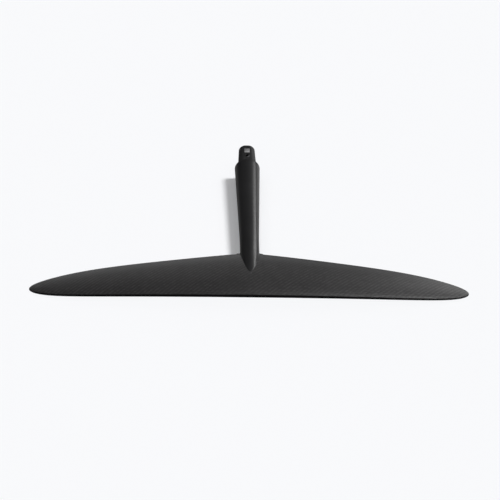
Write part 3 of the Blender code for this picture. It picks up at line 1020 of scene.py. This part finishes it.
@dataclass
class Tenon:
    """Plug with its shoulder ring, bores, steel block and screw insert."""

    shoulder_y: float
    end_y: float
    centre_z: float
    ring_half_width: float
    ring_half_height: float
    half_width_root: float = 0.0169
    half_width_end: float = 0.0146
    half_height: float = 0.0120
    corner: float = 0.0100
    end_round: float = 0.0018
    end_plan_round: float = 0.0052
    ring_depth: float = 0.0082
    shell_wall: float = 0.0022
    window_clearance: float = 0.0004
    cut_length: float = 0.030
    rim: float = 0.0012
    vent_inset: float = 0.0055
    corner_steps: int = 14

    def shoulder_ring(self) -> Piece:
        """Flat-faced ring between the fuselage's wall and the tenon."""
        face_y = self.shoulder_y - 0.00004
        depth = self.ring_depth
        ring = new_piece("shoulder_ring_face", bpy.ops.mesh.primitive_cylinder_add,
                         vertices=160, radius=1.0, depth=depth, end_fill_type="NGON",
                         location=(0, face_y - depth / 2, self.centre_z),
                         rotation=(math.pi / 2, 0, 0))
        fit = self.shell_wall + 0.00005
        ring.scale = (self.ring_half_width - fit, self.ring_half_height - fit, 1.0)
        settle(ring)
        with editing(ring):
            select_where(ring, Part.FACE, lambda face: face.normal.y > 0.9)
            bpy.ops.mesh.bevel(offset=0.0003, segments=2, affect="EDGES")
        neck = self.section(self.shoulder_y, grow=0.0002)
        hole = ring_piece("hole_cutter", [[(x, self.shoulder_y + step, z) for x, _y, z in neck]
                                          for step in (-0.02, 0.02)])
        return carve(ring, [hole], 30)

    def rounded_off(self, y: float, radius: float) -> float:
        """How far an edge of a given radius is drawn in near the end."""
        return arc_drop(radius, y - (self.end_y - radius))

    def section(self, y: float, grow: float = 0.0) -> list[Point]:
        """Rounded rectangle across the tenon at a place along Y."""
        share = max(0.0, (y - self.shoulder_y) / (self.end_y - self.shoulder_y))
        width = self.half_width_root + (self.half_width_end - self.half_width_root) * share
        width += grow - self.rounded_off(y, self.end_plan_round)
        height = self.half_height + grow - self.rounded_off(y, self.end_round)
        corner = min(self.corner, 0.9 * width)
        ring = []
        for quarter in range(4):
            side_x = 1 if quarter in (0, 3) else -1
            side_z = 1 if quarter in (0, 1) else -1
            for turn in spread(0, math.pi / 2, self.corner_steps):
                angle = turn + quarter * math.pi / 2
                ring.append((side_x * (width - corner) + corner * math.cos(angle), y,
                             self.centre_z + side_z * (height - corner)
                             + corner * math.sin(angle)))
        return ring

    def body(self) -> Piece:
        """Tapered plug with a rounded end, window and bores."""
        straight = spread(self.shoulder_y, self.end_y - self.end_plan_round, 6)
        end = [self.end_y - self.end_plan_round * (1 - math.sin(turn))
               for turn in spread(0, math.pi / 2, 14)]
        rings = [self.section(y) for y in [self.shoulder_y - 0.012, *straight, *end[1:]]]
        return carve(ring_piece("tenon_plug", rings), self.cutters(), 32)

    def cutters(self) -> list[Piece]:
        """Window for the block, bolt bore, countersunk insert seat and vent."""
        centre, size = packed_place("threaded_block")
        floor = centre.z - size.z / 2
        top = self.centre_z + self.half_height
        past_top = top + 0.006
        margin = 2 * self.window_clearance
        window = rounded_box("window_cutter", (centre.x, centre.y, (floor + past_top) / 2),
                             (size.x + margin, size.y + margin, past_top - floor), 0.0011)
        window_lip = rounded_box("window_lip_cutter", (centre.x, centre.y, top + 0.0007),
                                 (size.x + 0.0018, size.y + 0.0018, 0.0020), 0.0016)
        bore = rod("bore_cutter", radius=0.0042, centre=(0, self.end_y, centre.z),
                   length=self.cut_length, axis=Axis.Y)
        insert_centre, insert_size = packed_place("screw_insert")
        radius = insert_size.x / 2
        seat = rod("seat_cutter", radius=radius + 0.0003, centre=(0, insert_centre.y, top),
                   length=0.032)
        sink = rod("sink_cutter", radius=radius + self.rim,
                   centre=(0, insert_centre.y, top + 0.0002), length=0.0016, taper=0.0016)
        vent = rod("vent_cutter", radius=0.0017, length=0.008,
                   centre=(0.0028, self.end_y - self.vent_inset, top))
        return [window, window_lip, bore, seat, sink, vent]

    def block(self) -> Piece:
        """Steel block with eased edges and its threaded bore."""
        centre, size = packed_place("threaded_block")
        block = rounded_box("threaded_block_body", centre, size, 0.0009)
        with editing(block):
            select_where(block, Part.FACE, lambda face: abs(face.normal.z) > 0.9)
            bpy.ops.mesh.bevel(offset=0.00035, segments=3, affect="EDGES")
        return carve(block, [rod("thread_cutter", radius=0.0034, centre=centre,
                                 length=self.cut_length, axis=Axis.Y)], 28)

    def insert(self) -> Piece:
        """Steel insert: a cylinder whose top is inset and sunk into a bore."""
        centre, size = packed_place("screw_insert")
        insert = new_piece("screw_insert_sleeve", bpy.ops.mesh.primitive_cylinder_add,
                           vertices=64, radius=size.x / 2, depth=size.z, location=centre)
        freeze(insert)
        with editing(insert):
            select_where(insert, Part.FACE, lambda face: abs(face.normal.z) > 0.9)
            bpy.ops.mesh.bevel(offset=0.0003, segments=2, affect="EDGES")
            select_where(insert, Part.FACE, lambda face: face.normal.z > 0.9)
            bpy.ops.mesh.inset(thickness=self.rim)
            for narrowing, depth in ((0.0008, 0.0008), (0.00001, 0.0090)):
                bpy.ops.mesh.extrude_region_move(
                    TRANSFORM_OT_translate={"value": (0, 0, -depth)})
                ratio = 1 - narrowing / (size.x / 2 - self.rim)
                bpy.ops.transform.resize(value=(ratio, ratio, 1),
                                         center_override=tuple(centre))
        return clean(insert, 30)

    def build(self) -> None:
        """Model the ring, the plug, the block and the insert."""
        ring = self.shoulder_ring()
        dress(ring, SmoothCarbon(name="shoulder_carbon", wear=0.16).build())
        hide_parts("shoulder_ring")
        tenon = self.body()
        dress(tenon, SmoothCarbon(name="tenon_carbon", roughness=0.46, wear=0.30).build())
        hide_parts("tenon")
        block = self.block()
        dress(block, MachinedSteel().build())
        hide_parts("threaded_block")
        insert = self.insert()
        # The insert's steel is painted near-black, as the shade inside its bore.
        dress(insert, MachinedSteel(name="insert_steel", light=(0.085, 0.085, 0.088),
                                    dull=(0.030, 0.030, 0.032), roughness=0.42).build())
        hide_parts("screw_insert")


def rounded_box(name: str, centre: Sequence[float], size: Sequence[float],
                corner: float) -> Piece:
    """Box with rounded upright edges, its place in its mesh."""
    box = new_piece(name, bpy.ops.mesh.primitive_cube_add, size=1, location=tuple(centre))
    box.scale = tuple(size)
    freeze(box)
    with editing(box):
        select_where(box, Part.EDGE, lambda edge: abs(
            edge.verts[0].co.z - edge.verts[1].co.z) > size[2] / 2)
        bpy.ops.mesh.bevel(offset=corner, segments=6, affect="EDGES")
    return box


def rod(name: str, radius: float, centre: Sequence[float], length: float,
        axis: Axis = Axis.Z, taper: float = 0.0) -> Piece:
    """Round cutter about a centre, wider at its top by a taper."""
    made = new_piece(name, bpy.ops.mesh.primitive_cone_add, vertices=64,
                     radius1=radius - taper, radius2=radius, depth=length,
                     location=tuple(centre), rotation=axis.value)
    freeze(made)
    return made


# ---- inner structure

@dataclass
class InnerStructure:
    """Cores, spar, fillers and straps that stay as packed, with their finishes."""

    nodes: dict[str, Piece]

    def coat(self, finish: Finish, *names: str) -> None:
        """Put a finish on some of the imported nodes."""
        material = finish.build()
        for name in names:
            for slot in self.nodes[name].material_slots:
                slot.material = material
            log.info("%s: finish %s", name, material.name)

    def build(self) -> None:
        """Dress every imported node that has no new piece."""
        self.coat(ClosedCellFoam(), "left_front_core", "left_rear_core", "right_front_core",
                  "right_rear_core", "fuselage_core")
        self.coat(UnidirectionalCarbon(name="spar_carbon"), "spar_web", "upper_spar_cap",
                  "lower_spar_cap", "root_block")
        self.coat(UnidirectionalCarbon(name="strap_carbon", stretch=(2600.0, 25.0, 2600.0)),
                  "upper_fuselage_strap", "lower_fuselage_strap", "fuselage_root_plug")
        self.coat(BondingPaste(), "left_trailing_edge_filler", "right_trailing_edge_filler")


# ---- studio

@dataclass
class Studio:
    """Floor, light and camera."""

    root_edge: Vector
    pieces: list[Piece]
    casters: list[Piece]
    elevation: float = 38.995
    turn: float = 2.5925
    roll: float = 2.3513
    distance: float = 2.2255
    frame_width: float = 0.81287
    aim_up: float = 0.07654
    aim_right: float = -0.0018
    sensor: float = 36.0
    key_direction: Point = (0.69, 0.14, 1.0)
    key_angle: float = 17.0
    room_colour: tuple[float, ...] = (1.0, 0.985, 0.995, 1.0)
    room_strength: float = 0.06
    ground: Piece | None = None
    blockers: bpy.types.Collection | None = None

    def floor(self) -> None:
        """Large pale plane under the part, which leaves no mirror image on it."""
        floor = new_piece("studio_floor", bpy.ops.mesh.primitive_plane_add, size=12)
        floor.data.materials.append(StudioFloor().build())
        floor.visible_glossy = False
        floor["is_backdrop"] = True
        self.ground = floor

    def camera(self) -> None:
        """Camera with a long lens, above and in front of the leading edge."""
        lift, turn = math.radians(self.elevation), math.radians(self.turn)
        forward = Vector((math.sin(turn) * math.cos(lift), math.cos(turn) * math.cos(lift),
                          -math.sin(lift)))
        level_right = Vector((math.cos(turn), -math.sin(turn), 0))
        level_up = level_right.cross(forward)
        roll = Matrix.Rotation(-math.radians(self.roll), 3, forward)
        right, up = roll @ level_right, roll @ level_up
        lens = bpy.data.cameras.new("product_camera")
        lens.sensor_width = self.sensor
        lens.lens = self.sensor * self.distance / self.frame_width
        lens.clip_end = 50
        camera = bpy.data.objects.new("product_camera", lens)
        bpy.context.collection.objects.link(camera)
        aim = self.root_edge + right * self.aim_right + up * self.aim_up
        basis = Matrix((right, up, -forward)).transposed().to_4x4()
        camera.matrix_world = Matrix.Translation(aim - forward * self.distance) @ basis
        bpy.context.scene.camera = camera

    def lamp(self, name: str, kind: str, direction: Point, distance: float) -> Piece:
        """Light of a kind that stands in a direction and faces the part."""
        lamp = bpy.data.objects.new(name, bpy.data.lights.new(name, kind))
        bpy.context.collection.objects.link(lamp)
        away = Vector(direction).normalized()
        lamp.location = away * distance
        lamp.rotation_euler = away.to_track_quat("Z", "Y").to_euler()
        return lamp

    def linked(self, name: str, members: Iterable[Piece]) -> bpy.types.Collection:
        """Collection that a light's linking refers to."""
        group = bpy.data.collections.new(name)
        for member in members:
            group.objects.link(member)
        return group

    def sun(self, name: str, energy: float, direction: Point, angle: float,
            shone_on: bpy.types.Collection | None = None, gloss: bool = False) -> None:
        """Distant light whose shadow only the fuselage throws.

        Args:
            name: Name of the light.
            energy: Strength of the light.
            direction: Where the light comes from.
            angle: Angular size in degrees.
            shone_on: Objects that it lights, or None for all.
            gloss: Whether it leaves a highlight.
        """
        sun = self.lamp(name, "SUN", direction, 3.0)
        sun.data.energy = energy
        sun.data.angle = math.radians(angle)
        sun.data.cycles.use_multiple_importance_sampling = False
        sun.visible_glossy = gloss
        sun.light_linking.blocker_collection = self.blockers
        if shone_on:
            sun.light_linking.receiver_collection = shone_on

    def box(self, name: str, power: float, direction: Point, size: tuple[float, float],
            shone_on: bpy.types.Collection) -> None:
        """Broad light without a shadow, which lights a few objects only."""
        box = self.lamp(name, "AREA", direction, 2.2)
        box.data.shape = "RECTANGLE"
        box.data.size, box.data.size_y = size
        box.data.energy = power
        box.data.use_shadow = False
        box.light_linking.receiver_collection = shone_on

    def lights(self) -> None:
        """A soft key from the right, a fill overhead, boxes behind and a dim room.

        Only the fuselage throws a shadow, so that the floor stays even. The
        two low boxes stand in for the pale floor that the fuselage mirrors.
        """
        self.blockers = self.linked("blockers", self.casters)
        wing_pieces = [piece for piece in self.pieces
                       if piece.name.startswith(("wing_", "leading_"))]
        stub_pieces = [piece for piece in self.pieces if piece not in wing_pieces]
        wing = self.linked("wing_group", wing_pieces)
        stub = self.linked("stub_group", stub_pieces)
        rest = self.linked("rest_group", [self.ground] + stub_pieces)
        key = {"direction": self.key_direction, "angle": self.key_angle}
        self.sun("right_key", energy=2.85, shone_on=rest, gloss=True, **key)
        self.sun("wing_key", energy=2.3, shone_on=wing, gloss=True, **key)
        self.sun("wing_soft", energy=1.3, shone_on=wing, **key)
        self.sun("top_fill", energy=0.68, direction=(0.1, 0.0, 1.0), angle=100)
        self.box("rear_box", power=8.8, direction=(0.62, 0.74, 0.42), size=(0.9, 0.8),
                 shone_on=wing)
        self.box("rear_strip", power=4.3, direction=(-0.28, 0.9, 0.25), size=(2.0, 0.48),
                 shone_on=wing)
        self.box("stub_box", power=7.0, direction=(0.66, 0.72, 0.42), size=(0.4, 0.8),
                 shone_on=stub)
        self.box("low_right", power=2.4, direction=(0.62, 0.75, -0.30), size=(1.2, 0.7),
                 shone_on=stub)
        self.box("low_left", power=0.6, direction=(-0.62, 0.75, -0.30), size=(1.2, 0.7),
                 shone_on=stub)
        world = bpy.data.worlds.new("studio_room")
        world.use_nodes = True
        background = world.node_tree.nodes["Background"]
        background.inputs["Color"].default_value = self.room_colour
        background.inputs["Strength"].default_value = self.room_strength
        bpy.context.scene.world = world

    def build(self) -> None:
        """Set up the studio."""
        bpy.context.scene.view_settings.view_transform = "Standard"
        self.floor()
        self.lights()
        self.camera()


def main() -> None:
    """Load the frame, build and dress every piece, and set up the studio."""
    logging.basicConfig(level=logging.INFO, format="%(name)s %(message)s")
    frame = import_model()
    packed_box = [list(corner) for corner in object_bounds()]
    low, high = (Vector(corner) for corner in packed_box)
    mounts = {mount["name"]: mount for mount in frame["record"]["mounts"]}
    shoulder_y = mounts["shoulder"]["pos_m"][1]
    ring_centre, ring_size = packed_place("shoulder_ring")
    plane_z = ring_centre.z

    wing_shape = WingShape(half_span=high.x / Wing.last_eta, root_chord=0.111,
                           root_y=low.y, plane_z=plane_z)
    fuselage_shape = FuselageShape(root_y=low.y, plane_z=plane_z)

    Wing(shape=wing_shape).build()
    Fuselage(wing=wing_shape, shape=fuselage_shape, shoulder_y=shoulder_y).build()
    Tenon(shoulder_y=shoulder_y, end_y=high.y, centre_z=plane_z,
          ring_half_width=ring_size.x / 2, ring_half_height=ring_size.z / 2).build()
    InnerStructure(nodes=frame["nodes"]).build()
    pieces = [item for item in bpy.context.scene.objects if item.type == "MESH"]
    casters = [item for item in pieces if item.name.startswith("fuselage_")
               and item.name.endswith("_half")]
    Studio(root_edge=Vector((0, low.y, plane_z)), pieces=pieces, casters=casters).build()


if __name__ == "__main__":
    main()
